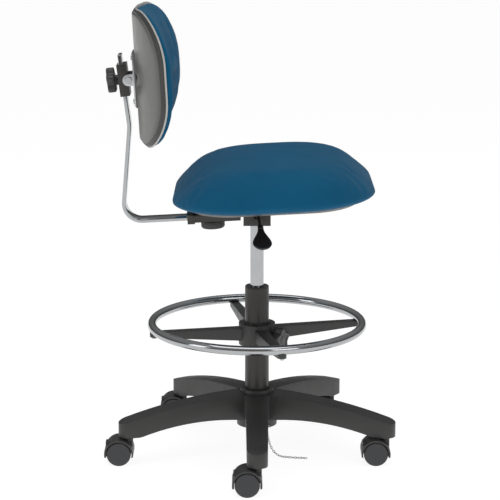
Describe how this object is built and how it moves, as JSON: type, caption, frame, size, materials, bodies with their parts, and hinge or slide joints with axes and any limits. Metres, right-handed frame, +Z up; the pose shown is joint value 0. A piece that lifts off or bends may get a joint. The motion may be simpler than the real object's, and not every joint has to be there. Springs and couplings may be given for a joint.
{
  "type": "drafting chair",
  "caption": "Tall swivel drafting chair with padded seat and back, flat-bar back support, adjustable foot ring and a rolling star base.",
  "frame": {"origin": "on the floor, under the swivel axis of the seat column", "axes": "+Z up; the sitter faces -Y; +X is to the sitter's left; casters trail towards +Y"},
  "size_m": [0.5579, 0.6016, 0.9393],
  "materials": {
    "blue_fabric": "fine woven polyester upholstery, matt with a slight sheen",
    "grey_shell": "smooth moulded shell, satin",
    "black_nylon": "glass-filled nylon, fine moulded grain",
    "caster_nylon": "moulded nylon hood",
    "wheel_plastic": "hard nylon wheel, smooth flat face",
    "knob_plastic": "moulded knob, satin",
    "lever_plastic": "smooth moulded paddle",
    "black_acetal": "low-friction bush",
    "black_steel": "black powder coat",
    "chrome": "bright plated steel",
    "zinc_steel": "zinc plated steel",
    "birch_ply": "birch plywood"
  },
  "bodies": {
    "base": {"star_base": "black_nylon", "caster_stems": "zinc_steel", "column_tube": "black_steel", "column_bushing": "black_acetal", "bearing_race": "zinc_steel", "thrust_balls": "zinc_steel", "drag_chain": "zinc_steel", "chain_clip": "zinc_steel"},
    "piston": {"piston_rod": "chrome", "bearing_washer": "zinc_steel", "rod_clip": "zinc_steel"},
    "seat": {"gas_cylinder": "chrome", "seat_plate": "black_steel", "seat_board": "birch_ply", "seat_pan": "black_nylon", "seat_cushion": "blue_fabric", "seat_bolts": "zinc_steel", "tee_nuts": "zinc_steel", "lever_pin": "zinc_steel"},
    "release_pin": {"release_pin": "zinc_steel"},
    "lever": {"lever_rod": "black_steel", "lever_paddle": "lever_plastic"},
    "back_bar": {"j_bar": "chrome"},
    "depth_knob": {"depth_knob": "knob_plastic"},
    "back_sleeve": {"back_sleeve": "black_steel"},
    "back_knob": {"back_knob": "knob_plastic"},
    "back": {"back_bracket": "zinc_steel", "pivot_bolt": "zinc_steel", "back_shell": "grey_shell", "back_board": "birch_ply", "back_cushion": "blue_fabric", "back_screws": "zinc_steel"},
    "ring_bush": {"ring_bush": "black_acetal"},
    "foot_ring": {"foot_ring": "chrome", "ring_spider": "black_nylon", "ring_screws": "zinc_steel"},
    "ring_knob": {"ring_knob": "knob_plastic"},
    "caster_1": {"caster_hood_1": "caster_nylon", "caster_axle_1": "zinc_steel"},
    "wheel_left_1": {"wheel_left_1": "wheel_plastic"},
    "wheel_right_1": {"wheel_right_1": "wheel_plastic"},
    "caster_2": {"caster_hood_2": "caster_nylon", "caster_axle_2": "zinc_steel"},
    "wheel_left_2": {"wheel_left_2": "wheel_plastic"},
    "wheel_right_2": {"wheel_right_2": "wheel_plastic"},
    "caster_3": {"caster_hood_3": "caster_nylon", "caster_axle_3": "zinc_steel"},
    "wheel_left_3": {"wheel_left_3": "wheel_plastic"},
    "wheel_right_3": {"wheel_right_3": "wheel_plastic"},
    "caster_4": {"caster_hood_4": "caster_nylon", "caster_axle_4": "zinc_steel"},
    "wheel_left_4": {"wheel_left_4": "wheel_plastic"},
    "wheel_right_4": {"wheel_right_4": "wheel_plastic"},
    "caster_5": {"caster_hood_5": "caster_nylon", "caster_axle_5": "zinc_steel"},
    "wheel_left_5": {"wheel_left_5": "wheel_plastic"},
    "wheel_right_5": {"wheel_right_5": "wheel_plastic"}
  },
  "joints": [
    {"name": "seat_swivel", "type": "hinge", "parent": "base", "child": "piston", "pos_m": [0, 0, 0.072], "axis": [0, 0, 1], "continuous": true},
    {"name": "seat_height", "type": "slide", "parent": "piston", "child": "seat", "axis": [0, 0, 1], "range_m": [-0.11, 0.08]},
    {"name": "lever_lift", "type": "hinge", "parent": "seat", "child": "lever", "pos_m": [-0.02, 0, 0.5208], "axis": [0, 1, 0], "range_deg": [0, 6], "stiffness_Nm_per_rad": 3, "springref_deg": -8.59},
    {"name": "pin_press", "type": "slide", "parent": "seat", "child": "release_pin", "axis": [0, 0, -1], "range_m": [0, 0.0024]},
    {"name": "seat_depth", "type": "slide", "parent": "seat", "child": "back_bar", "axis": [0, 0.9986, -0.0523], "range_m": [-0.016, 0.032]},
    {"name": "depth_knob_turn", "type": "hinge", "parent": "seat", "child": "depth_knob", "pos_m": [0, 0.0914, 0.4962], "axis": [0, 0.0523, 0.9986], "range_deg": [-270, 0]},
    {"name": "back_height", "type": "slide", "parent": "back_bar", "child": "back_sleeve", "axis": [0, 0.1253, 0.9921], "range_m": [-0.04, 0.015]},
    {"name": "back_knob_turn", "type": "hinge", "parent": "back_sleeve", "child": "back_knob", "pos_m": [0, 0.27208, 0.78805], "axis": [0, 0.9921, -0.1253], "range_deg": [-270, 0]},
    {"name": "back_tilt", "type": "hinge", "parent": "back_sleeve", "child": "back", "pos_m": [0, 0.25968, 0.78962], "axis": [1, 0, 0], "range_deg": [-8, 5]},
    {"name": "ring_height", "type": "slide", "parent": "base", "child": "ring_bush", "axis": [0, 0, 1], "range_m": [-0.085, 0.07]},
    {"name": "ring_turn", "type": "hinge", "parent": "ring_bush", "child": "foot_ring", "pos_m": [0, 0, 0.255], "axis": [0, 0, 1], "continuous": true},
    {"name": "ring_knob_turn", "type": "hinge", "parent": "foot_ring", "child": "ring_knob", "pos_m": [-0.0265, -0.0424, 0.2485], "axis": [-0.5299, -0.848, 0], "range_deg": [-270, 0]},
    {"name": "caster_swivel_1", "type": "hinge", "parent": "base", "child": "caster_1", "pos_m": [-0.279, 0, 0.045], "axis": [0, 0, 1], "continuous": true},
    {"name": "wheel_left_spin_1", "type": "hinge", "parent": "caster_1", "child": "wheel_left_1", "pos_m": [-0.297, 0.02, 0.025], "axis": [1, 0, 0], "continuous": true},
    {"name": "wheel_right_spin_1", "type": "hinge", "parent": "caster_1", "child": "wheel_right_1", "pos_m": [-0.261, 0.02, 0.025], "axis": [1, 0, 0], "continuous": true},
    {"name": "caster_swivel_2", "type": "hinge", "parent": "base", "child": "caster_2", "pos_m": [-0.08622, -0.26534, 0.045], "axis": [0, 0, 1], "continuous": true},
    {"name": "wheel_left_spin_2", "type": "hinge", "parent": "caster_2", "child": "wheel_left_2", "pos_m": [-0.10422, -0.24535, 0.025], "axis": [1, 0, 0], "continuous": true},
    {"name": "wheel_right_spin_2", "type": "hinge", "parent": "caster_2", "child": "wheel_right_2", "pos_m": [-0.06822, -0.24535, 0.025], "axis": [1, 0, 0], "continuous": true},
    {"name": "caster_swivel_3", "type": "hinge", "parent": "base", "child": "caster_3", "pos_m": [0.22572, -0.16399, 0.045], "axis": [0, 0, 1], "continuous": true},
    {"name": "wheel_left_spin_3", "type": "hinge", "parent": "caster_3", "child": "wheel_left_3", "pos_m": [0.20772, -0.14399, 0.025], "axis": [1, 0, 0], "continuous": true},
    {"name": "wheel_right_spin_3", "type": "hinge", "parent": "caster_3", "child": "wheel_right_3", "pos_m": [0.24372, -0.14399, 0.025], "axis": [1, 0, 0], "continuous": true},
    {"name": "caster_swivel_4", "type": "hinge", "parent": "base", "child": "caster_4", "pos_m": [0.22572, 0.16399, 0.045], "axis": [0, 0, 1], "continuous": true},
    {"name": "wheel_left_spin_4", "type": "hinge", "parent": "caster_4", "child": "wheel_left_4", "pos_m": [0.20772, 0.18399, 0.025], "axis": [1, 0, 0], "continuous": true},
    {"name": "wheel_right_spin_4", "type": "hinge", "parent": "caster_4", "child": "wheel_right_4", "pos_m": [0.24372, 0.18399, 0.025], "axis": [1, 0, 0], "continuous": true},
    {"name": "caster_swivel_5", "type": "hinge", "parent": "base", "child": "caster_5", "pos_m": [-0.08622, 0.26534, 0.045], "axis": [0, 0, 1], "continuous": true},
    {"name": "wheel_left_spin_5", "type": "hinge", "parent": "caster_5", "child": "wheel_left_5", "pos_m": [-0.10422, 0.28535, 0.025], "axis": [1, 0, 0], "continuous": true},
    {"name": "wheel_right_spin_5", "type": "hinge", "parent": "caster_5", "child": "wheel_right_5", "pos_m": [-0.06822, 0.28535, 0.025], "axis": [1, 0, 0], "continuous": true}
  ],
  "couplings": [
    {"joint": "pin_press", "follows": "lever_lift", "m_per_rad": 0.0215}
  ]
}
